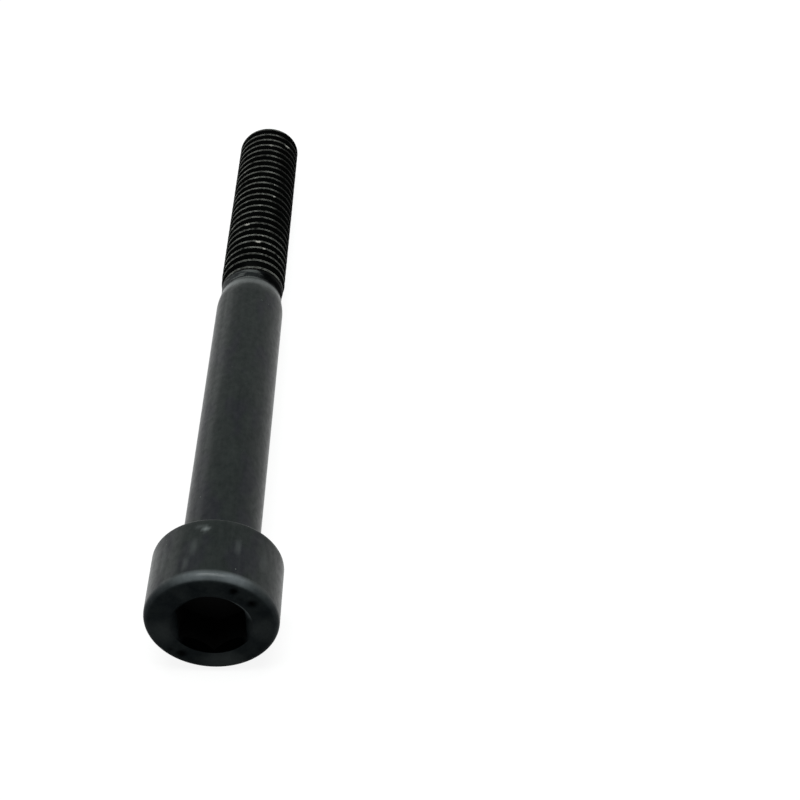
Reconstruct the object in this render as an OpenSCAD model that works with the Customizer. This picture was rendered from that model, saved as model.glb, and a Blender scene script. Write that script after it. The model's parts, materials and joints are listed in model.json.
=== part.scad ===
// Hex socket cap screw, M6 x 60, partly threaded, black finish.
// The screw is lying down: its head's lower rim and its last full thread
// crest rest on the floor, and its tip points along +Y.
// The origin is the centre of the bearing face under the head.

/* [Head] */
// Diameter of the head
head_d = 10; // [8:0.1:14]
// Height of the head
head_h = 6; // [5:0.1:9]
// Radius round the edge of the head's top face
head_edge_r = 0.6; // [0.2:0.05:0.8]
// Radius round the rim of the bearing face
bearing_edge_r = 0.2; // [0.1:0.05:0.5]
// Radius of the fillet between bearing face and shank
underhead_r = 0.3; // [0.1:0.05:0.6]

/* [Socket] */
// Width of the hexagon across its flats
socket_af = 5; // [3:0.1:5.5]
// Depth of the hexagon from the top face
socket_depth = 3; // [2:0.1:4]
// How far the round lead-in reaches past the hexagon's corners
lead_in = 0.14; // [0.05:0.01:0.2]
// Slope of the lead-in, from the top face
lead_in_angle = 45; // [30:5:60]
// Depth of the cone that the punch leaves at the bottom
punch_cone_h = 0.7; // [0.3:0.1:1]

/* [Shank] */
// Length under the head
length = 60; // [45:1:80]
// Diameter of the plain shank
shank_d = 5.95; // [5.9:0.05:6.2]
// Diameter of the bare neck
neck_d = 5.5; // [5.2:0.05:5.6]
// Length of the bare neck
neck_length = 1.2; // [0.8:0.1:3]
// Length of the slope from the shank down to the neck
shoulder_length = 1.4; // [0.6:0.1:3]

/* [Thread] */
// Nominal diameter, on which the thread's profile is built
nominal_d = 6; // [5.9:0.05:6.1]
// Diameter over the crests, which are cut a little short
thread_d = 5.85; // [5.8:0.05:6]
// Pitch of the right-hand thread
pitch = 1; // [0.8:0.05:1.25]
// Angle between the thread's flanks
flank_angle = 60; // [55:1:62]
// Length of the full thread, from the tip
thread_length = 24; // [12:1:30]
// Turns over which the thread fades into the neck
fade_turns = 1.5; // [1:0.25:3]
// Length of the bevel at the tip
tip_bevel = 0.9; // [0.7:0.05:1.2]
// Sides in one turn of the thread
turn_sides = 36; // [24:4:40]

/* [Hidden] */
$fn = 96;

head_r = head_d / 2;
shank_r = shank_d / 2;
neck_r = neck_d / 2;
crest_r = thread_d / 2;

// Hexagon, lead-in and cone of the socket
corner_r = socket_af / 2 / cos(30);
lead_in_r = corner_r + lead_in;
lead_in_h = lead_in_r * tan(lead_in_angle);

// Profile of a rolled metric thread, as deep as 17/24 of the sharp triangle
sharp_height = pitch / 2 / tan(flank_angle / 2);
root_r = nominal_d / 2 - 17 / 24 * sharp_height;
crest_w = pitch / 8 + (nominal_d - thread_d) * tan(flank_angle / 2);
flank_w = (crest_r - root_r) * tan(flank_angle / 2);
root_w = pitch - crest_w - 2 * flank_w;

// One pitch of the profile, as distance along the axis and radius
PROFILE = [
    [0, root_r],
    [root_w, root_r],
    [root_w + flank_w, crest_r],
    [root_w + flank_w + crest_w, crest_r]
];

// Stations along the axis, from the bearing face
thread_start = length - thread_length - fade_turns * pitch;
neck_start = thread_start - neck_length;
shoulder_start = neck_start - shoulder_length;
tip_r = crest_r - tip_bevel;

// The thread's body starts inside the neck, a little thinner than it
neck_lap = neck_length / 2;
neck_skin = 0.03;
body_r = neck_r - neck_skin;
// Points closer than this to an end lie on the end itself
end_gap = 0.02;

// The thread as a helical strip: "i" counts sides along the helix, "j" points of the profile
last_side = ceil((length - thread_start) / pitch + 1) * turn_sides;
points_per_side = len(PROFILE);
root_ring = (last_side + 1) * points_per_side;
tip_ring = root_ring + turn_sides;

function station(i, j) = thread_start - pitch + pitch * i / turn_sides + PROFILE[j][0];
function fade(z) = max(0, min(1, (z - thread_start) / pitch / fade_turns));
function bevel_r(z) = tip_r + length - z;
function radius(i, j) = let (z = station(i, j))
    min(body_r + (PROFILE[j][1] - body_r) * fade(z), bevel_r(z));
// The circle starts half a side round, so that the thread rests on a side and not on a corner
function side_angle(i) = 360 * (i + 0.5) / turn_sides;
function on_circle(i, r, z) = [r * cos(side_angle(i)), r * sin(side_angle(i)), z];
function ring(r, z) = [for (i = [0 : turn_sides - 1]) on_circle(i, r, z)];

// Number of a point of the strip, or of the ring at the end that it has run past
function point(i, j) =
    j == points_per_side ? point(i + turn_sides, 0)
    : station(i, j) < thread_start + end_gap ? root_ring + i % turn_sides
    : station(i, j) > length - end_gap ? tip_ring + i % turn_sides
    : i * points_per_side + j;

// A face with the doubled points of a collapsed side left out
function face(points) =
    [for (k = [0 : len(points) - 1]) if (points[k] != points[(k + 1) % len(points)]) points[k]];

// Angle at which the screw lies: its floor line runs from the first full
// crest at the tip to the round rim of the bearing face
rim_station = -bearing_edge_r;
rim_r = head_r - bearing_edge_r;
rest_station = length - tip_bevel;
rest_run = rest_station - rim_station;
rest_rise = rim_r - crest_r;
lying_angle = atan2(rest_rise, rest_run) + asin(bearing_edge_r / norm([rest_run, rest_rise]));

// What a round of radius r leaves of a square corner at the origin, which
// fills the quarter on the negative side of both axes
module corner_waste(r) {
    difference() {
        translate([-r, -r]) square(r);
        translate([-r, -r]) circle(r);
    }
}

// Half section of the head, with its top face at -head_h
module head_section() {
    difference() {
        translate([0, -head_h]) square([head_r, head_h]);
        translate([head_r, 0]) corner_waste(bearing_edge_r);
        translate([head_r, -head_h]) mirror([0, 1]) corner_waste(head_edge_r);
    }
}

// Half section of the shank, its fillet, the shoulder and the neck
module shank_section() {
    square([shank_r, shoulder_start]);
    translate([shank_r, 0]) rotate(180) corner_waste(underhead_r);
    polygon([
        [0, shoulder_start],
        [shank_r, shoulder_start],
        [neck_r, neck_start],
        [neck_r, thread_start],
        [0, thread_start]
    ]);
}

module socket() {
    translate([0, 0, -head_h]) {
        rotate(30) cylinder(r = corner_r, h = socket_depth, $fn = 6);
        cylinder(r1 = lead_in_r, r2 = 0, h = lead_in_h);
        translate([0, 0, socket_depth])
            cylinder(r1 = socket_af / 2, r2 = 0, h = punch_cone_h);
    }
}

module thread() {
    points = concat(
        [for (i = [0 : last_side], j = [0 : points_per_side - 1])
            on_circle(i, radius(i, j), station(i, j))],
        ring(body_r, thread_start - neck_lap),
        ring(tip_r, length)
    );
    sides = [for (i = [0 : last_side - 1], j = [0 : points_per_side - 1])
        let (f = face([point(i, j), point(i, j + 1), point(i + 1, j + 1), point(i + 1, j)]))
        if (len(f) > 2) f];
    root_end = [for (i = [0 : turn_sides - 1]) root_ring + i];
    tip_end = [for (i = [turn_sides - 1 : -1 : 0]) tip_ring + i];
    polyhedron(points, concat(sides, [root_end, tip_end]), convexity = 10);
}

module cap_screw() {
    color("#2b2f2f")
    rotate([-90 - lying_angle, 0, 0]) {
        difference() {
            // The revolve starts at the top of the lying screw
            rotate(-90)
                rotate_extrude() {
                    head_section();
                    shank_section();
                }
            socket();
        }
        thread();
    }
}

cap_screw();
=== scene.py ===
"""The looks of the hex socket cap screw: its finely modelled steel, black oxide
finish, pale floor, soft studio light and the photograph's camera."""
import json
import math

import bmesh
import bpy
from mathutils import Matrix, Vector, noise


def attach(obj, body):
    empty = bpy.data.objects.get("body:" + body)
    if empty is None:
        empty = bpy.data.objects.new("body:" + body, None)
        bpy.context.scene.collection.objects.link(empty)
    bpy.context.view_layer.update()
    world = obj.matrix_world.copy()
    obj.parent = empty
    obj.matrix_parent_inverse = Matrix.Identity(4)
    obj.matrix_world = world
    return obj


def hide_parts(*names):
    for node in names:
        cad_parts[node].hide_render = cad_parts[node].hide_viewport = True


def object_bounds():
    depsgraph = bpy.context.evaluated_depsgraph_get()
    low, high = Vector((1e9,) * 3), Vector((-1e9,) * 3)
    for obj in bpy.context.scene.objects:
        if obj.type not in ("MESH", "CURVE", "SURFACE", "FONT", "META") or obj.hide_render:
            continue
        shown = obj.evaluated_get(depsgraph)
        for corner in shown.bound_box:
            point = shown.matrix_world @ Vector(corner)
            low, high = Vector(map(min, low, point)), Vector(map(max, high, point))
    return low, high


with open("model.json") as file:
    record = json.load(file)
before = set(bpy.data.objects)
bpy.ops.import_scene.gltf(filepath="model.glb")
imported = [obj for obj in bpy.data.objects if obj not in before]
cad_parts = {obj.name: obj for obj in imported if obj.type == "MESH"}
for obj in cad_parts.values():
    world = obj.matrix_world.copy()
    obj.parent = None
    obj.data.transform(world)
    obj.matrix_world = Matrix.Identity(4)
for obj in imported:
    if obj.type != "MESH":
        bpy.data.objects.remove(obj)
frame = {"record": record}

CAD_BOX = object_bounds()
CAD_LOW, CAD_HIGH = Vector(CAD_BOX[0]), Vector(CAD_BOX[1])

MM = 0.001
MOUNTS = {mount["name"]: mount for mount in frame["record"]["mounts"]}

# The screw is modelled upright, its tip up and the origin in its bearing face, and then
# laid down. Places on it are an angle round its axis in degrees, a radius, and a station,
# the distance from the bearing face towards the tip.
AXIS = Vector(MOUNTS["head_seat"]["axis"]).normalized()
LYING_ANGLE = math.asin(-AXIS.z)
LAY_DOWN = -math.pi / 2 - LYING_ANGLE

# Head
HEAD_R = (CAD_HIGH.x - CAD_LOW.x) / 2
HEAD_H = Vector(MOUNTS["socket"]["pos_m"]).length
HEAD_EDGE_R = 0.6 * MM
BEARING_EDGE_R = 0.2 * MM
UNDERHEAD_R = 0.3 * MM

# Socket for a 5 mm key, with a round lead-in past the hexagon's corners
SOCKET_AF = 5 * MM
SOCKET_DEPTH = 3 * MM
LEAD_IN = 0.14 * MM
LEAD_IN_R = SOCKET_AF / 2 / math.cos(math.radians(30)) + LEAD_IN
LEAD_IN_SLOPE = math.tan(math.radians(45))
MOUTH_ROUNDING = 0.08 * MM

# The punch's shallow cone at the bottom of the socket, with one ring part way up
PUNCH_CONE_R = SOCKET_AF / 2 * 0.98
PUNCH_CONE_H = 0.7 * MM
PUNCH_RING_R = 1 * MM
PUNCH_RING_H = 0.42 * MM

# Rolled thread, M6 with a pitch of 1 mm, which fades into the neck
PITCH = 1 * MM
NOMINAL_R = 3 * MM
CREST_R = 2.925 * MM
HALF_FLANK = math.tan(math.radians(30))
ROOT_R = NOMINAL_R - 17 / 24 * PITCH * math.cos(math.radians(30))
CREST_W = PITCH / 8 + 2 * (NOMINAL_R - CREST_R) * HALF_FLANK
FLANK_W = (CREST_R - ROOT_R) * HALF_FLANK
ROOT_W = PITCH - CREST_W - 2 * FLANK_W
CREST_ROUNDING = 0.03 * MM
ROOT_ROUNDING = 0.07 * MM
THREAD_LENGTH = 24 * MM
FADE_LENGTH = 1.5 * PITCH

# Fine seam that rolling leaves along the crest
SEAM_DEPTH = 0.05 * MM
SEAM_START = 0.34 * CREST_W
SEAM_END = 0.66 * CREST_W

# Tip, with its bevel, rounded edge and slightly dished end
LENGTH = 60 * MM
TIP_BEVEL = 0.9 * MM
TIP_ROUNDING = 0.12 * MM
TIP_R = CREST_R - TIP_BEVEL
TIP_RING = LENGTH - TIP_ROUNDING
# Rings of the dish: share of the tip's radius, and depth
TIP_DISH = [(0.62, 0.03 * MM), (0.2, 0.1 * MM), (0, 0.11 * MM)]

# Shank, shoulder and neck
SHANK_R = MOUNTS["shank"]["dims"]["r_mm"] * MM
NECK_R = 2.75 * MM
NECK_LENGTH = 1.2 * MM
SHOULDER_LENGTH = 1.4 * MM
SHOULDER_ROUNDING = 0.45 * MM
THREAD_START = LENGTH - THREAD_LENGTH - FADE_LENGTH
NECK_START = THREAD_START - NECK_LENGTH
SHOULDER_START = NECK_START - SHOULDER_LENGTH

# Steps of one turn, a multiple of 12 so that the hexagon has its corners
TURN_STEPS = 144
LONGEST_EDGE = 0.3 * MM
SMOOTH_ANGLE = math.radians(32)
# Points closer than this are the same point
MERGE = 0.002 * MM
# Points of the thread closer to an end than this lie on the end itself
END_GAP = 0.02 * MM

# The sides that face up and down on the floor, in degrees round the upright screw
UPPER_SIDE = -90
LOWER_SIDE = 90

# Marks of handling, and some painted light. Places round the axis are in degrees, and all lengths
# in mm.
# Dents in the top face: place, distance from the axis, size and depth
FACE_DENTS = [(-36, 3.85, 0.5, 0.05), (-62, 4.05, 0.5, 0.05), (128, 3.95, 0.6, 0.045),
              (-50, 3.6, 0.3, 0.02), (140, 4.2, 0.35, 0.03)]
# Haze on the top face, with painted light that makes it lightest low on the face.
# Each: place, distance from the axis, size and strength
FACE_HAZE_AND_LIGHT = [(82, 4.4, 2.3, 0.32), (168, 3.9, 1.8, 0.22), (8, 3.8, 1.6, 0.18),
             (-120, 4.0, 0.9, 0.06)]
# Nicks in the thread, all on its crests: place, station, size and depth
THREAD_NICKS = [(-81, 38.86, 0.42, 0.06), (-69, 37.89, 0.2, 0.05), (-74, 39.88, 0.16, 0.04),
                (-106, 41.79, 0.4, 0.04), (-144, 42.68, 0.2, 0.04), (-86, 44.84, 0.22, 0.03),
                (-61, 46.91, 0.2, 0.04), (-62, 48.91, 0.16, 0.035), (-101, 49.8, 0.25, 0.025),
                (-129, 51.72, 0.2, 0.03), (-79, 55.86, 0.35, 0.028), (-44, 56.96, 0.45, 0.035),
                (-35, 37.99, 0.2, 0.03), (-114, 45.77, 0.2, 0.025)]
# Rubbed streaks along the body, and at -95 degrees by the bearing face a painted glint.
# Each: place, station, half width, half length and strength
BODY_RUBS_AND_GLINT = [(-104, -2.8, 0.45, 1.3, 0.32), (-66, -2.5, 0.3, 1.2, 0.35),
             (-109, -4.3, 0.3, 1.0, 0.3), (-134, -3.2, 0.5, 2.2, 0.25),
             (-40, -2.8, 0.6, 1.8, 0.2), (-95, -1.05, 0.36, 0.38, 1.66),
             (-100, -0.8, 0.6, 0.3, 0.4), (-62, 11.5, 0.5, 2.4, 0.3),
             (-120, 9.0, 0.4, 3.0, 0.22), (-50, 22.0, 0.5, 4.0, 0.22),
             (-150, -2.7, 1.2, 3.6, 0.32)]


# Modelling by hand

def deselect_all():
    bpy.ops.object.select_all(action="DESELECT")


def start_outline(name, start):
    """A new piece that is one selected point, in edit mode."""
    deselect_all()
    bpy.ops.mesh.primitive_plane_add(size=MM)
    piece = bpy.context.object
    piece.name = piece.data.name = name
    bpy.ops.object.mode_set(mode="EDIT")
    bpy.ops.mesh.select_mode(type="VERT")
    bpy.ops.mesh.merge(type="CENTER")
    bpy.ops.transform.translate(value=(start[0], 0, start[1]))
    return piece


def select_vertices(piece, wanted):
    """Selects only the vertices that wanted(radius, station) accepts."""
    mesh = bmesh.from_edit_mesh(piece.data)
    for vertex in mesh.verts:
        vertex.select = wanted(vertex.co.xy.length, vertex.co.z)
    mesh.select_flush_mode()
    bmesh.update_edit_mesh(piece.data)


def round_corner(piece, corner, rounding, steps):
    """Rounds one corner of an outline."""
    def at_corner(radius, station):
        return math.hypot(radius - corner[0], station - corner[1]) < MERGE

    select_vertices(piece, at_corner)
    bpy.ops.mesh.bevel(affect="VERTICES", offset=rounding, segments=steps)


def draw_outline(name, corners):
    """A new piece that is one line of edges, from a table of its corners.

    Each corner is its radius and station, its rounding and the rounding's steps."""
    places = [place for place, rounding, steps in corners]
    piece = start_outline(name, places[0])
    for (r0, z0), (r1, z1) in zip(places, places[1:]):
        bpy.ops.mesh.extrude_region_move(
            TRANSFORM_OT_translate={"value": (r1 - r0, 0, z1 - z0)})
    for place, rounding, steps in corners:
        if steps:
            round_corner(piece, place, rounding, steps)
    return piece


def divide_long_edges(piece, longest):
    """Cuts an outline's long edges into even lengths."""
    mesh = bmesh.from_edit_mesh(piece.data)
    cuts = {}
    for edge in mesh.edges:
        pieces = math.ceil(edge.calc_length() / longest - 1e-6)
        if pieces > 1:
            cuts.setdefault(pieces - 1, []).append(tuple(v.co.copy() for v in edge.verts))
    for count, spans in cuts.items():
        for low, high in spans:
            mesh = bmesh.from_edit_mesh(piece.data)
            for edge in mesh.edges:
                ends = [v.co for v in edge.verts]
                edge.select = low in ends and high in ends
            mesh.select_flush_mode()
            bmesh.update_edit_mesh(piece.data)
            bpy.ops.mesh.subdivide(number_cuts=count)


def move_selected(piece, place):
    """Gives each selected vertex the place that place(vertex's place) says."""
    mesh = bmesh.from_edit_mesh(piece.data)
    for vertex in mesh.verts:
        if vertex.select:
            vertex.co = place(vertex.co)
    bmesh.update_edit_mesh(piece.data)


def at_radius(place, radius, station):
    """The point on the same side of the axis, at another radius and station."""
    side = place.xy.normalized()
    return Vector((side.x * radius, side.y * radius, station))


def extrude_ring(piece, place):
    """Extrudes the selected ring of edges and moves the new ring."""
    bpy.ops.mesh.extrude_region_move(TRANSFORM_OT_translate={"value": (0, 0, 0)})
    move_selected(piece, place)


# Head, socket, shank and neck

def turn_body():
    """The head, shank, shoulder and neck as one turned shell, open at the socket and the thread."""
    body = draw_outline("cap_screw_steel", [
        ((LEAD_IN_R, -HEAD_H), 0, 0),
        ((HEAD_R, -HEAD_H), HEAD_EDGE_R, 8),
        ((HEAD_R, 0), BEARING_EDGE_R, 5),
        ((SHANK_R, 0), UNDERHEAD_R, 5),
        ((SHANK_R, SHOULDER_START), SHOULDER_ROUNDING, 4),
        ((NECK_R, NECK_START), SHOULDER_ROUNDING, 4),
        ((NECK_R, THREAD_START), 0, 0),
    ])
    divide_long_edges(body, LONGEST_EDGE)
    bpy.ops.mesh.select_all(action="SELECT")
    bpy.ops.mesh.spin(steps=TURN_STEPS, angle=2 * math.pi, center=(0, 0, 0), axis=(0, 0, 1))
    return body


def hexagon_radius(place):
    """Distance from the axis to the hexagon's wall on this side."""
    half_side = math.radians(30)
    turn = (math.atan2(place.y, place.x) + half_side) % (2 * half_side) - half_side
    return SOCKET_AF / 2 / math.cos(turn)


def on_mouth(radius, station):
    """Whether a vertex lies on the edge of the socket's mouth."""
    return abs(radius - LEAD_IN_R) < MERGE and abs(station + HEAD_H) < MERGE


def open_socket(body):
    """Sinks the hexagon into the head, with its round lead-in and the punch's shallow cone."""
    floor = SOCKET_DEPTH - HEAD_H

    def on_lead_in(place):
        radius = hexagon_radius(place)
        return at_radius(place, radius, -HEAD_H + (LEAD_IN_R - radius) * LEAD_IN_SLOPE)

    select_vertices(body, on_mouth)
    extrude_ring(body, on_lead_in)
    extrude_ring(body, lambda place: Vector((place.x, place.y, (place.z + floor) / 2)))
    extrude_ring(body, lambda place: Vector((place.x, place.y, floor)))
    extrude_ring(body, lambda place: at_radius(place, PUNCH_CONE_R, floor))
    extrude_ring(body, lambda place: at_radius(place, PUNCH_RING_R, floor + PUNCH_RING_H))
    extrude_ring(body, lambda place: Vector((0, 0, floor + PUNCH_CONE_H)))
    bpy.ops.mesh.merge(type="CENTER")
    select_vertices(body, on_mouth)
    bpy.ops.mesh.bevel(offset=MOUTH_ROUNDING, segments=3, affect="EDGES")


# Thread

def thread_profile(start):
    """One pitch of the thread, from the middle of a root to the middle of the next."""
    flank = start + ROOT_W / 2
    crest = flank + FLANK_W
    crest_end = crest + CREST_W
    profile = draw_outline("thread", [
        ((ROOT_R, start), 0, 0),
        ((ROOT_R, flank), ROOT_ROUNDING, 3),
        ((CREST_R, crest), CREST_ROUNDING, 2),
        ((CREST_R, crest + SEAM_START), 0, 0),
        ((CREST_R - SEAM_DEPTH, crest + CREST_W / 2), 0, 0),
        ((CREST_R, crest + SEAM_END), 0, 0),
        ((CREST_R, crest_end), CREST_ROUNDING, 2),
        ((ROOT_R, crest_end + FLANK_W), ROOT_ROUNDING, 3),
        ((ROOT_R, start + PITCH), 0, 0),
    ])
    bpy.ops.object.mode_set(mode="OBJECT")
    return profile


def roll_thread():
    """The thread as a right-hand helical strip, before its ends are finished."""
    start = THREAD_START - 2 * PITCH + ROOT_W / 2
    thread = thread_profile(start)
    roll = thread.modifiers.new("roll", "SCREW")
    roll.axis = "Z"
    roll.angle = 2 * math.pi
    roll.steps = roll.render_steps = TURN_STEPS
    roll.iterations = math.ceil((LENGTH - start) / PITCH)
    roll.screw_offset = PITCH
    bpy.ops.object.modifier_apply(modifier=roll.name)
    return thread


def finish_thread(thread):
    """Fades the thread into the neck, bevels its tip and closes both ends on plain rings."""
    rise = thread.data.attributes.new("crest_height", "FLOAT", "POINT")
    for index, vertex in enumerate(thread.data.vertices):
        place = vertex.co
        station = place.z
        rise.data[index].value = (place.xy.length - ROOT_R) / (CREST_R - ROOT_R)
        fade = min(1, max(0, (station - THREAD_START) / FADE_LENGTH))
        radius = NECK_R + (place.xy.length - NECK_R) * fade
        radius = min(radius, TIP_R + LENGTH - station)
        if station < THREAD_START + END_GAP:
            radius, station = NECK_R, THREAD_START
        elif station > TIP_RING - END_GAP:
            radius, station = TIP_R + TIP_ROUNDING, TIP_RING
        vertex.co = at_radius(place, radius, station)


def close_tip(screw):
    """Rounds the edge of the tip and closes its slightly dished end."""
    select_vertices(screw, lambda radius, station: abs(station - TIP_RING) < MERGE)
    for turn in (30, 60, 90):
        across = TIP_ROUNDING * (1 - math.cos(math.radians(turn)))
        along = TIP_ROUNDING * math.sin(math.radians(turn))
        extrude_ring(screw, lambda place: at_radius(
            place, TIP_R + TIP_ROUNDING - across, TIP_RING + along))
    for share, depth in TIP_DISH:
        extrude_ring(screw, lambda place: at_radius(place, TIP_R * share, LENGTH - depth))
    bpy.ops.mesh.merge(type="CENTER")


def join_pieces(body, thread):
    """Welds body and thread into one closed shell."""
    bpy.ops.object.mode_set(mode="OBJECT")
    deselect_all()
    thread.select_set(True)
    body.select_set(True)
    bpy.context.view_layer.objects.active = body
    bpy.ops.object.join()
    bpy.ops.object.mode_set(mode="EDIT")
    bpy.ops.mesh.select_all(action="SELECT")
    bpy.ops.mesh.remove_doubles(threshold=MERGE)
    close_tip(body)
    bpy.ops.mesh.select_all(action="SELECT")
    bpy.ops.mesh.normals_make_consistent(inside=False)
    bpy.ops.object.mode_set(mode="OBJECT")


# Wear and marks, worked into the shape and kept as attributes for the finish, with painted
# highlights and painted shade among them

# Depths in mm at which a dent is darkest and a nick shows bare metal
FULL_DENT = 0.05
FULL_NICK = 0.05

# A band is where an effect starts and where it is full, as radii, stations or degrees.
# The crests: what wear takes off them in mm, and how much more or less in places
CREST_BAND = (CREST_R - 0.07 * MM, CREST_R - 0.02 * MM)
CREST_END = LENGTH - 1.1 * TIP_ROUNDING
CREST_WEAR = 0.008
CREST_DRIFT = 0.006
# How bare the crests are, and what slow and quick changes along them add or take
CREST_BARE = 0.6
BARE_DRIFT = 0.6
BARE_FLECKS = 0.7
# Towards the tip, the right side of the thread has painted shade: its crests stay dark
SHADE_SIDE = (UPPER_SIDE + 20, UPPER_SIDE + 42)
SHADE_LENGTH = (37 * MM, 44 * MM)
SHADE_STRENGTH = 0.85

# Places round the head, each its middle and the turns from it at which it starts to fade and ends:
# the edge's painted highlight, a flake, the mouth's painted highlight and the mouth's painted shade
EDGE_HIGHLIGHT = (UPPER_SIDE + 6, 14, 50)
EDGE_FLAKE = (UPPER_SIDE + 26, 4, 14)
MOUTH_HIGHLIGHT = (UPPER_SIDE + 55, 10, 32)
SHADED_MOUTH = (LOWER_SIDE, 48, 72)
# The head's rounded edge, by its radius and its depth below the top face
RIM_BAND = (HEAD_R - 0.42 * MM, HEAD_R - 0.2 * MM)
RIM_FADE = (0.45 * MM, 0.9 * MM)
# How light the edge and the mouth are at least
LEAST_WEAR = 0.15
# How far the haze and painted light of the top face reach down the head's edge
HAZE_DEPTH = 0.3 * MM

# The shoulder's slope: where its painted highlight starts and ends, and how light it is left and
# right
SLOPE_BAND = (SHOULDER_START + 0.1 * MM, SHOULDER_START + 0.9 * MM)
SLOPE_FADE = (NECK_START - 0.3 * MM, NECK_START + 0.05 * MM)
SLOPE_SIDE = (UPPER_SIDE - 38, UPPER_SIDE - 8)
SLOPE_LEFT = 1.5
SLOPE_RIGHT = 0.7

# The neck, and how dark it is on its left and right side
NECK_BAND = (NECK_START - 0.2 * MM, NECK_START + 0.1 * MM)
NECK_DARK_SIDE = (UPPER_SIDE + 6, UPPER_SIDE + 32)
NECK_DARK_LEFT = 0.3
NECK_DARK_RIGHT = 0.95

# The waxy film: how much of it is on the top face and in the neck, and where it gets full
FACE_FILM = 0.1
NECK_FILM = 0.5
FILM_BAND = (0.1 * MM, HEAD_EDGE_R)

# Brown tint of the tip
TINT_BAND = (0.75 * TIP_R, TIP_R)
TINT_LENGTH = (LENGTH - 0.8 * MM, LENGTH - 0.5 * MM)


def smooth_step(low, high, value):
    """A soft change from 0 at low to 1 at high."""
    share = min(1, max(0, (value - low) / (high - low)))
    return share * share * (3 - 2 * share)


def polar(place):
    """The degrees round the axis, the radius and the station of a place."""
    return math.degrees(math.atan2(place.y, place.x)), place.xy.length, place.z


def turned_from(middle, degrees):
    """The turn from a middle to a place, from -180 to 180 degrees."""
    return (degrees - middle + 180) % 360 - 180


def near(spot, degrees):
    """1 in the middle of a place round the head, 0 past its end."""
    middle, fades, ends = spot
    return 1 - smooth_step(fades, ends, abs(turned_from(middle, degrees)))


def mark_share(degrees, along, mark, arm):
    """How deep a place lies in a mark, from 0 to 1. arm is the mark's distance from the axis."""
    middle, station, size, depth = mark
    around = math.radians(turned_from(middle, degrees)) * arm
    away = math.hypot(around, along - station * MM) / (size * MM)
    return 1 - smooth_step(0.25, 1, away)


def dent_share(place):
    """How deep a place on the top face lies in a dent, from 0 to 1."""
    degrees, radius, station = polar(place)
    if station > -HEAD_H + HEAD_EDGE_R or radius < LEAD_IN_R + MOUTH_ROUNDING:
        return 0
    return max(mark_share(degrees, radius, mark, mark[1] * MM) * mark[3] / FULL_DENT
               for mark in FACE_DENTS)


def dent_top_face(place):
    """Dents of the top face. Returns how deep the place lies in one, from 0 to 1."""
    share = dent_share(place)
    place.z += share * FULL_DENT * MM
    return share


def crest_noise(degrees, station, arc, per_turn, seed):
    """Unevenness along the crests, from -1 to 1. arc is the degrees that one change takes."""
    return noise.noise(Vector((degrees / arc, station / PITCH * per_turn, seed)))


def wear_crest(place):
    """Nicks and uneven rolling of the crest. Returns how bare it is, less where painted shade
    darkens it.
    """
    degrees, radius, station = polar(place)
    if station < THREAD_START or station > CREST_END:
        return 0
    crest = smooth_step(*CREST_BAND, radius)
    drift = crest_noise(degrees, station, arc=24, per_turn=1.7, seed=6)
    fine = crest_noise(degrees, station, arc=5, per_turn=3.1, seed=13)
    radius -= crest * (CREST_WEAR + CREST_DRIFT * drift) * MM
    in_shade = smooth_step(*SHADE_SIDE, degrees) * smooth_step(*SHADE_LENGTH, station)
    bare = CREST_BARE + BARE_DRIFT * drift + BARE_FLECKS * fine
    bare *= 1 - SHADE_STRENGTH * in_shade
    for mark in THREAD_NICKS:
        share = mark_share(degrees, station, mark, CREST_R)
        radius -= share * crest * mark[3] * MM
        bare = max(bare, 3 * share * min(1, mark[3] / FULL_NICK))
    place.xy = at_radius(place, radius, station).xy
    return max(0, bare)


def rim_wear_and_highlight(degrees, radius, depth):
    """Head's rounded edge: worn a little all round, a painted highlight on its upper side, a flake
    beside it.
    """
    edge = smooth_step(*RIM_BAND, radius) * (1 - smooth_step(*RIM_FADE, depth))
    return edge * (LEAST_WEAR + 0.6 * near(EDGE_HIGHLIGHT, degrees) + 0.3 * near(EDGE_FLAKE, degrees))


def edge_wear_and_highlights(place):
    """How light wear and painted highlights leave the head's rounded edge and the socket's mouth.
    """
    degrees, radius, station = polar(place)
    depth = station + HEAD_H
    if station < 0 and radius > LEAD_IN_R + 2 * MOUTH_ROUNDING:
        return rim_wear_and_highlight(degrees, radius, depth)
    if abs(radius - LEAD_IN_R) < MOUTH_ROUNDING and abs(depth) < MOUTH_ROUNDING:
        # The mouth: worn a little all round, with a painted highlight on its upper right
        return LEAST_WEAR + (1 - LEAST_WEAR) * near(MOUTH_HIGHLIGHT, degrees)
    return 0


def face_haze_and_light(degrees, radius):
    """How light the top face is: haze, with painted light low on the face."""
    return sum(mark_share(degrees, radius, mark, mark[1] * MM) * mark[3] for mark in FACE_HAZE_AND_LIGHT)


def shoulder_highlight(degrees, station):
    """Painted highlight on the shoulder's slope, lightest on its left side."""
    slope = smooth_step(*SLOPE_BAND, station) * (1 - smooth_step(*SLOPE_FADE, station))
    right = smooth_step(*SLOPE_SIDE, degrees)
    return slope * (SLOPE_LEFT + (SLOPE_RIGHT - SLOPE_LEFT) * right)


def rubs_and_highlights(place):
    """How light rubs and painted light leave the top face, the shoulder, the head's side and the
    shank.
    """
    degrees, radius, station = polar(place)
    if station < -HEAD_H + HAZE_DEPTH:
        return face_haze_and_light(degrees, radius)
    if station > SLOPE_BAND[0]:
        return shoulder_highlight(degrees, station)
    if radius < LEAD_IN_R:
        return 0
    light = 0
    for side, middle, half_width, half_length, strength in BODY_RUBS_AND_GLINT:
        around = math.radians(turned_from(side, degrees)) * radius / (half_width * MM)
        along = (station - middle * MM) / (half_length * MM)
        light = max(light, strength * (1 - smooth_step(0.2, 1, math.hypot(around, along))))
    return light


def neck_share(place):
    """1 in the neck and past it, 0 before it."""
    return smooth_step(*NECK_BAND, place.z)


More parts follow.
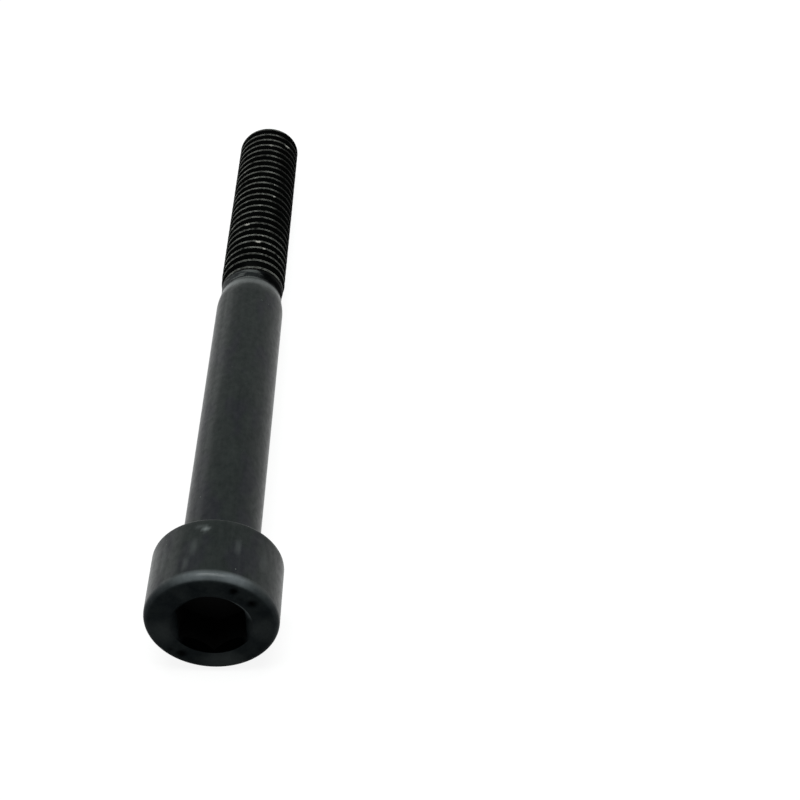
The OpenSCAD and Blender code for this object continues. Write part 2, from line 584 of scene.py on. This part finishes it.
def neck_darkening(place):
    """How dark the neck is: darker on its right side."""
    degrees, radius, station = polar(place)
    right = smooth_step(*NECK_DARK_SIDE, degrees)
    return (NECK_DARK_LEFT + (NECK_DARK_RIGHT - NECK_DARK_LEFT) * right) * neck_share(place)


def oil_film(place):
    """Thickness of the waxy film: full on the turned sides, thin on the top face and the neck."""
    degrees, radius, station = polar(place)
    if station < 0 and radius < LEAD_IN_R + MOUTH_ROUNDING:
        return 0
    film = FACE_FILM + (1 - FACE_FILM) * smooth_step(*FILM_BAND, station + HEAD_H)
    clean = (1 - neck_darkening(place)) * (1 - dent_share(place))
    return film * clean * (1 - (1 - NECK_FILM) * neck_share(place))


def tip_tone(place):
    """Brown tint round the rim of the tip."""
    degrees, radius, station = polar(place)
    return smooth_step(*TINT_BAND, radius) * smooth_step(*TINT_LENGTH, station)


def lead_in_shade_and_neck_darkening(place):
    """Painted shade in the socket's lead-in, deepest at its lower side, and the darker right side
    of the neck.
    """
    degrees, radius, station = polar(place)
    if station > NECK_START:
        return neck_darkening(place)
    if radius > LEAD_IN_R + MOUTH_ROUNDING / 2 or station > 0:
        return 0
    # The lead-in: painted shade, deepest at its lower side
    return 0.4 + 0.6 * near(SHADED_MOUTH, degrees)


def wear_screw(screw):
    """Works each kind of wear into the shape and writes its attribute; some attributes hold painted
    highlights and painted shade.
    """
    mesh = screw.data
    traces = {"bare_crests_and_shade": wear_crest, "worn_and_highlit_edges": edge_wear_and_highlights, "rubs_and_painted_light": rubs_and_highlights,
              "film": oil_film, "dents": dent_top_face, "lead_in_shade_and_dark_neck": lead_in_shade_and_neck_darkening,
              "tip_tint": tip_tone, "neck": neck_share}
    for name, trace in traces.items():
        attribute = mesh.attributes.new(name, "FLOAT", "POINT")
        for index, vertex in enumerate(mesh.vertices):
            attribute.data[index].value = trace(vertex.co)
    mesh.update()


# The finished screw

# Depth below the top face from which all of the socket gets its painted shade
SOCKET_SHADE_DEPTH = 1 * MM
# A face whose normal rises less than this is a wall
WALL_RISE = 0.2


def finish_of(face):
    """The name of the finish that a face of the upright screw gets."""
    radius = face.center.xy.length
    station = face.center.z
    on_wall = abs(face.normal.z) < WALL_RISE
    deep = station > -HEAD_H + SOCKET_SHADE_DEPTH
    if station < 0 and radius < LEAD_IN_R and (on_wall or deep):
        return "socket"
    if station > THREAD_START:
        return "thread"
    return "body"


def assign_finish(screw, finishes):
    """The body, the inside of the socket and the thread each get their own finish, the last two
    with painted shade.
    """
    for material in finishes.values():
        screw.data.materials.append(material)
    order = list(finishes)
    for face in screw.data.polygons:
        face.material_index = order.index(finish_of(face))


def lay_down(screw):
    """Lays the screw on its head's rim and its thread, and smooths its round sides."""
    screw.rotation_euler = (LAY_DOWN, 0, 0)
    deselect_all()
    screw.select_set(True)
    bpy.context.view_layer.objects.active = screw
    bpy.ops.object.transform_apply(location=False, rotation=True, scale=False)
    bpy.ops.object.shade_smooth_by_angle(angle=SMOOTH_ANGLE)


def make_screw():
    """The whole screw: turned, threaded, worn, finished and laid down."""
    body = turn_body()
    open_socket(body)
    bpy.ops.object.mode_set(mode="OBJECT")
    thread = roll_thread()
    finish_thread(thread)
    join_pieces(body, thread)
    wear_screw(body)
    assign_finish(body, {
        "body": satin_oxide(), "socket": socket_oxide_shaded(), "thread": thread_oxide_shaded()})
    lay_down(body)
    return body


# Nodes of a material or an effect

# Places of a Mix node's sockets for colours
MIX_SHARE, MIX_FIRST, MIX_SECOND = 0, 6, 7
MIX_RESULT = 2


def feed(tree, value, socket):
    """Links an output to a socket, or sets a plain value on it."""
    if isinstance(value, bpy.types.NodeSocket):
        tree.links.new(value, socket)
    else:
        socket.default_value = value


def add_math(tree, operation, *values):
    node = tree.nodes.new("ShaderNodeMath")
    node.operation = operation
    for socket, value in zip(node.inputs, values):
        feed(tree, value, socket)
    return node.outputs[0]


def add_vector_math(tree, operation, *values):
    node = tree.nodes.new("ShaderNodeVectorMath")
    node.operation = operation
    for socket, value in zip(node.inputs, values):
        feed(tree, value, socket)
    return node.outputs[0]


def add_range(tree, value, low, high, to_low=0.0, to_high=1.0):
    """Maps low to high onto to_low to to_high, and stops at both ends."""
    node = tree.nodes.new("ShaderNodeMapRange")
    for label, number in (("Value", value), ("From Min", low), ("From Max", high),
                          ("To Min", to_low), ("To Max", to_high)):
        feed(tree, number, node.inputs[label])
    return node.outputs["Result"]


def add_place(tree, size, stretch=(1, 1, 1), move=(0, 0, 0)):
    """Object coordinates, stretched along the screw or across it, moved, and divided by size."""
    place = tree.nodes.new("ShaderNodeTexCoord").outputs["Object"]
    place = add_vector_math(tree, "MULTIPLY_ADD", place, stretch, move)
    return add_vector_math(tree, "DIVIDE", place, size)


def add_noise(tree, place, size, detail=2.0, roughness=0.5):
    node = tree.nodes.new("ShaderNodeTexNoise")
    for label, value in (("Vector", place), ("Scale", 1 / size), ("Detail", detail),
                         ("Roughness", roughness)):
        feed(tree, value, node.inputs[label])
    return node.outputs["Fac"]


def add_attribute(material, name):
    node = material.node_tree.nodes.new("ShaderNodeAttribute")
    node.attribute_name = name
    return node.outputs["Fac"]


def mix_colour(material, share, first, second):
    """The first colour, with a share of the second."""
    tree = material.node_tree
    node = tree.nodes.new("ShaderNodeMix")
    node.data_type = "RGBA"
    feed(tree, share, node.inputs[MIX_SHARE])
    for place, colour in ((MIX_FIRST, first), (MIX_SECOND, second)):
        plain = isinstance(colour, tuple)
        feed(tree, (*colour, 1) if plain else colour, node.inputs[place])
    return node.outputs[MIX_RESULT]


# Shared effects of the finish. Each has one input, for its size, and gives masks from 0 to 1.

EFFECTS = {}


def new_effect(name, label, value, masks):
    """A node group with one number as its input, and its masks as outputs."""
    group = bpy.data.node_groups.new(name, "ShaderNodeTree")
    given = group.interface.new_socket(label, in_out="INPUT", socket_type="NodeSocketFloat")
    given.default_value = value
    for mask in masks:
        group.interface.new_socket(mask, in_out="OUTPUT", socket_type="NodeSocketFloat")
    start = group.nodes.new("NodeGroupInput")
    end = group.nodes.new("NodeGroupOutput")
    return group, start.outputs[label], end.inputs


def patches_effect():
    """Cloudy tone of the oxide: bloom, bluish patches, grain and fine pits."""
    group, size, masks = new_effect(
        "oxide_patches", "Size", 1.0, ("Bloom", "Blue", "Grain", "Fine"))
    bloom_place = add_place(group, size, stretch=(1, 0.6, 1))
    blue_place = add_place(group, size, stretch=(1, 0.5, 1), move=(0.3, 0.1, 0.2))
    grain_place = add_place(group, size, stretch=(1, 0.75, 1), move=(0.1, 0.4, 0.1))
    bloom = add_noise(group, bloom_place, 1.3 * MM, detail=5.0, roughness=0.68)
    blue = add_noise(group, blue_place, 1.9 * MM)
    grain = add_noise(group, grain_place, 0.45 * MM, detail=3.0, roughness=0.6)
    fine = add_noise(group, add_place(group, size), 0.16 * MM, detail=3.0, roughness=0.6)
    group.links.new(add_range(group, bloom, 0.36, 0.66), masks["Bloom"])
    group.links.new(add_range(group, blue, 0.52, 0.64), masks["Blue"])
    group.links.new(add_range(group, grain, 0.32, 0.68), masks["Grain"])
    group.links.new(add_range(group, fine, 0.3, 0.7), masks["Fine"])
    return group


def drawn_effect():
    """Long marks of the wire drawing, along the screw."""
    group, size, masks = new_effect("drawn_marks", "Size", 1.0, ("Marks",))
    place = add_place(group, size, stretch=(1, 0.06, 1))
    lines = add_noise(group, place, 0.34 * MM, roughness=0.55)
    group.links.new(add_range(group, lines, 0.35, 0.68), masks["Marks"])
    return group


def turned_effect():
    """Smears round the screw, left by turning and rolling."""
    group, size, masks = new_effect("turned_marks", "Size", 1.0, ("Marks",))
    place = add_place(group, size, stretch=(0.35, 1.8, 0.4))
    lines = add_noise(group, place, 0.42 * MM, detail=3.0, roughness=0.6)
    group.links.new(add_range(group, lines, 0.5, 0.62), masks["Marks"])
    return group


def specks_effect():
    """Sparse pale dust. A speck is a tenth to a fifth of the spacing across."""
    group, spacing, masks = new_effect("dust_specks", "Spacing", 0.5 * MM, ("Specks",))
    cells = group.nodes.new("ShaderNodeTexVoronoi")
    group.links.new(add_place(group, spacing, move=(0.1, 0.2, 0.1)), cells.inputs["Vector"])
    cells.inputs["Scale"].default_value = 1
    chosen = group.nodes.new("ShaderNodeSeparateColor")
    group.links.new(cells.outputs["Color"], chosen.inputs[0])
    size = add_range(group, chosen.outputs[0], 0.9, 1.0, 0.0, 0.15)
    near = add_math(group, "SUBTRACT", size, cells.outputs["Distance"])
    group.links.new(add_range(group, near, 0.0, 0.05), masks["Specks"])
    return group


def add_effect(material, make, **values):
    """Places an effect in a material, and builds it when it is the first."""
    if make not in EFFECTS:
        EFFECTS[make] = make()
    node = material.node_tree.nodes.new("ShaderNodeGroup")
    node.node_tree = EFFECTS[make]
    for label, value in values.items():
        node.inputs[label].default_value = value
    return node.outputs


# Finishes, with their colours in linear light

OXIDE_DARK, OXIDE_LIGHT = (0.0012, 0.0044, 0.0038), (0.0064, 0.0107, 0.0093)
OXIDE_BLUE = (0.0024, 0.0036, 0.0070)
DRAWN_GREY = (0.014, 0.019, 0.018)
FACE_DARK, FACE_LIGHT = (0.0048, 0.0074, 0.0090), (0.0140, 0.0178, 0.0186)
# The grey of the rubs also paints highlights on the shoulder and the head's side, and light low on
# the top face
RUB_AND_HIGHLIGHT_GREY = (0.125, 0.138, 0.138)
SMEAR_GREY = (0.095, 0.103, 0.101)
# The edge's grey also paints the highlights of the rim's upper side and the mouth's upper right
EDGE_GREY = (0.124, 0.138, 0.146)
# A black for dark dents, the darker neck and the painted shade of the socket's lead-in
SHADE_AND_DARK_BLACK = (0.0003, 0.0004, 0.0005)
BODY_DUST = (0.11, 0.122, 0.115)

# The thread's dark pair: the oxide's black deepened with painted shade of the grooves
THREAD_DARK, THREAD_LIGHT = (0.0003, 0.0004, 0.0004), (0.0010, 0.0013, 0.0012)
CREST_GREY = (0.160, 0.163, 0.150)
NICK_GREY = (0.36, 0.35, 0.32)
TIP_BROWN = (0.026, 0.023, 0.011)
THREAD_DUST = (0.08, 0.08, 0.075)

# The socket's pair: the oxide's black deepened with painted shade of the recess
SOCKET_DARK, SOCKET_LIGHT = (0.0004, 0.0004, 0.0005), (0.0011, 0.0012, 0.0012)


def start_finish(name, specular):
    material = bpy.data.materials.new(name)
    material.use_nodes = True
    shader = material.node_tree.nodes["Principled BSDF"]
    shader.inputs["Specular IOR Level"].default_value = specular
    return material, shader


def dress(material, shader, colour, mask, smooth, rough):
    """Gives a finish its colour, and a roughness that a mask takes from smooth to rough."""
    tree = material.node_tree
    tree.links.new(colour, shader.inputs["Base Color"])
    tree.links.new(add_range(tree, mask, 0, 1, smooth, rough), shader.inputs["Roughness"])


def add_bump(material, shader, height, depth, strength):
    tree = material.node_tree
    bump = tree.nodes.new("ShaderNodeBump")
    bump.inputs["Strength"].default_value = strength
    bump.inputs["Distance"].default_value = depth
    tree.links.new(height, bump.inputs["Height"])
    tree.links.new(bump.outputs["Normal"], shader.inputs["Normal"])


def body_tone(material, patches, drawn, film):
    """The oxide's own colour: drawn and patchy on the sides, greyer on the top face."""
    tree = material.node_tree
    side = mix_colour(material, patches["Bloom"], OXIDE_DARK, OXIDE_LIGHT)
    side = mix_colour(material, add_math(tree, "MULTIPLY", patches["Blue"], 0.85), side, OXIDE_BLUE)
    side = mix_colour(material, add_math(tree, "MULTIPLY", drawn["Marks"], 0.25), side, DRAWN_GREY)
    face = mix_colour(material, patches["Bloom"], FACE_DARK, FACE_LIGHT)
    return mix_colour(material, film, face, side)


def body_wear(material, colour, patches, film):
    """Rubs, smears, worn edges, dark dents, a darker neck, dust, painted light and painted shade
    over the body.
    """
    tree = material.node_tree
    turned = add_effect(material, turned_effect)
    specks = add_effect(material, specks_effect, Spacing=0.6 * MM)
    # Rubs, with the painted highlights of the shoulder and the head's side and painted light on the
    # top face
    rubs_and_light = add_math(tree, "MULTIPLY", add_attribute(material, "rubs_and_painted_light"), 0.6)
    smears = add_math(tree, "MULTIPLY", add_attribute(material, "neck"), turned["Marks"])
    edge = add_math(tree, "MULTIPLY", add_attribute(material, "worn_and_highlit_edges"),
                    add_range(tree, patches["Bloom"], 0, 1, 0.7, 1.0))
    shade_and_dark = add_math(tree, "MAXIMUM", add_attribute(material, "dents"),
                    add_attribute(material, "lead_in_shade_and_dark_neck"))
    dust = add_math(tree, "MULTIPLY", specks["Specks"], film)
    for share, tone in ((rubs_and_light, RUB_AND_HIGHLIGHT_GREY), (smears, SMEAR_GREY), (edge, EDGE_GREY),
                        (shade_and_dark, SHADE_AND_DARK_BLACK), (dust, BODY_DUST)):
        colour = mix_colour(material, share, colour, tone)
    return colour


def satin_oxide():
    """Black oxide of the head, shank and shoulder: charcoal, a little green, under a waxy film."""
    material, shader = start_finish("satin_oxide", specular=0.0)
    tree = material.node_tree
    patches = add_effect(material, patches_effect)
    drawn = add_effect(material, drawn_effect)
    film = add_attribute(material, "film")
    colour = body_tone(material, patches, drawn, film)
    colour = body_wear(material, colour, patches, film)
    dress(material, shader, colour, patches["Bloom"], smooth=0.46, rough=0.56)
    sheen = add_range(tree, patches["Grain"], 0, 1, 0.42, 0.60)
    tree.links.new(add_math(tree, "MULTIPLY", film, sheen), shader.inputs["Coat Weight"])
    shader.inputs["Coat Roughness"].default_value = 0.17
    shader.inputs["Coat IOR"].default_value = 1.4
    height = add_math(tree, "ADD", patches["Fine"], drawn["Marks"])
    add_bump(material, shader, height, depth=0.006 * MM, strength=0.7)
    return material


def thread_oxide_shaded():
    """Rolled thread: black with painted shade of its grooves, rubbed grey crests, a little brown at
    the tip.
    """
    material, shader = start_finish("thread_oxide_shaded", specular=0.01)
    tree = material.node_tree
    patches = add_effect(material, patches_effect)
    specks = add_effect(material, specks_effect, Spacing=0.7 * MM)
    wear = add_attribute(material, "bare_crests_and_shade")
    rise = add_attribute(material, "crest_height")
    # Bare crests, kept dark on the right side towards the tip by painted shade
    bare = add_math(tree, "MULTIPLY", add_range(tree, rise, 0.95, 1.0), wear)
    nick = add_math(tree, "MULTIPLY", add_range(tree, rise, 0.85, 0.97),
                    add_range(tree, wear, 1.2, 2.6))
    tint = add_math(tree, "MULTIPLY", add_attribute(material, "tip_tint"), 0.8)
    colour = mix_colour(material, patches["Bloom"], THREAD_DARK, THREAD_LIGHT)
    for share, tone in ((bare, CREST_GREY), (nick, NICK_GREY), (tint, TIP_BROWN),
                        (specks["Specks"], THREAD_DUST)):
        colour = mix_colour(material, share, colour, tone)
    dress(material, shader, colour, patches["Fine"], smooth=0.3, rough=0.44)
    add_bump(material, shader, patches["Fine"], depth=0.003 * MM, strength=0.5)
    return material


def socket_oxide_shaded():
    """Inside of the socket: oily, and dead black with painted shade of the recess."""
    material, shader = start_finish("socket_oxide_shaded", specular=0.04)
    patches = add_effect(material, patches_effect)
    colour = mix_colour(material, patches["Fine"], SOCKET_DARK, SOCKET_LIGHT)
    dress(material, shader, colour, patches["Fine"], smooth=0.5, rough=0.62)
    add_bump(material, shader, patches["Fine"], depth=0.003 * MM, strength=0.3)
    return material


# Floor, light and camera

FLOOR_SIZE = 3
# The floor's colour as light reaches it, and as it is seen
FLOOR_GREY = (0.42, 0.42, 0.42)
FLOOR_WHITE = (1.0, 1.0, 1.0)
# How much of the seen floor is its own white glow, and how bright that is
FLOOR_GLOW_SHARE = 0.84
FLOOR_GLOW = 1.06

# A trace of green, as in the photograph's light
LAMP_COLOUR = (0.955, 1.0, 0.98)
# A large softbox overhead, and low white screens behind and at both sides: name, place,
# what it aims at, width and height in metres, and watts
SOFTBOXES = [
    ("overhead", (0, 0.02, 0.40), (0, 0.02, 0), (0.30, 0.26), 1.7),
    ("screen_back", (-0.16, 0.62, 0.10), (0, 0, 0.02), (1.1, 0.22), 0.3),
    ("screen_left", (-0.55, 0.10, 0.11), (0, 0.03, 0.02), (0.8, 0.24), 0.1),
    ("screen_right", (0.55, 0.10, 0.11), (0, 0.03, 0.02), (0.8, 0.24), 0.1),
]
# Strength of the world as light, and as it is seen
WORLD_LIGHT = 0.18
WORLD_WHITE = 1.0

# The photograph's view, from a fit of the screw's outlines
CAMERA_PLACE = Vector((14.44, -81.53, 91.16)) * MM
CAMERA_LENS = 72.33
CAMERA_LOOKS_DOWN = math.radians(42.314)
CAMERA_ROLLED = math.radians(0.253)
CAMERA_TURNED = math.radians(0.195)


def seen_rays(tree):
    """1 for rays that show a background: from the camera, in gloss or through glass."""
    rays = tree.nodes.new("ShaderNodeLightPath")
    seen = add_math(tree, "MAXIMUM", rays.outputs["Is Camera Ray"], rays.outputs["Is Glossy Ray"])
    return add_math(tree, "MAXIMUM", seen, rays.outputs["Is Transmission Ray"])


def paper_floor():
    """Pale paper that looks white in the picture and in gloss, and still takes a soft shadow."""
    material, shader = start_finish("paper_floor", specular=0.0)
    tree = material.node_tree
    shader.inputs["Roughness"].default_value = 0.9
    seen = seen_rays(tree)
    colour = mix_colour(material, seen, FLOOR_GREY, FLOOR_WHITE)
    tree.links.new(colour, shader.inputs["Base Color"])
    white = tree.nodes.new("ShaderNodeEmission")
    white.inputs["Strength"].default_value = FLOOR_GLOW
    blend = tree.nodes.new("ShaderNodeMixShader")
    tree.links.new(add_math(tree, "MULTIPLY", seen, FLOOR_GLOW_SHARE), blend.inputs[0])
    tree.links.new(shader.outputs[0], blend.inputs[1])
    tree.links.new(white.outputs[0], blend.inputs[2])
    tree.links.new(blend.outputs[0], tree.nodes["Material Output"].inputs["Surface"])
    return material


def make_floor():
    deselect_all()
    bpy.ops.mesh.primitive_plane_add(size=FLOOR_SIZE, location=(0, 0, CAD_LOW.z))
    floor = bpy.context.object
    floor.name = "floor"
    floor.data.materials.append(paper_floor())


def add_softbox(name, place, aim, size, watts):
    lamp = bpy.data.lights.new(name, "AREA")
    lamp.shape = "RECTANGLE"
    lamp.size, lamp.size_y = size
    lamp.energy = watts
    lamp.color = LAMP_COLOUR
    box = bpy.data.objects.new(name, lamp)
    bpy.context.scene.collection.objects.link(box)
    box.location = place
    box.rotation_euler = (Vector(aim) - Vector(place)).to_track_quat("-Z", "Y").to_euler()


def add_world():
    """A world that looks white, and gives only a little light."""
    world = bpy.data.worlds.new("studio")
    bpy.context.scene.world = world
    world.use_nodes = True
    tree = world.node_tree
    strength = add_range(tree, seen_rays(tree), 0, 1, WORLD_LIGHT, WORLD_WHITE)
    tree.nodes["Background"].inputs["Color"].default_value = (1, 1, 1, 1)
    tree.links.new(strength, tree.nodes["Background"].inputs["Strength"])


def add_camera():
    data = bpy.data.cameras.new("camera")
    data.sensor_width = 36
    data.lens = CAMERA_LENS
    data.clip_start = 1 * MM
    camera = bpy.data.objects.new("camera", data)
    bpy.context.scene.collection.objects.link(camera)
    camera.location = CAMERA_PLACE
    camera.rotation_euler = (math.pi / 2 - CAMERA_LOOKS_DOWN, CAMERA_ROLLED, CAMERA_TURNED)
    bpy.context.scene.camera = camera


add_camera()
for softbox in SOFTBOXES:
    add_softbox(*softbox)
add_world()
make_floor()
screw = make_screw()
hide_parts("cap_screw")
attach(screw, "root")
bpy.context.scene.view_settings.view_transform = "Standard"
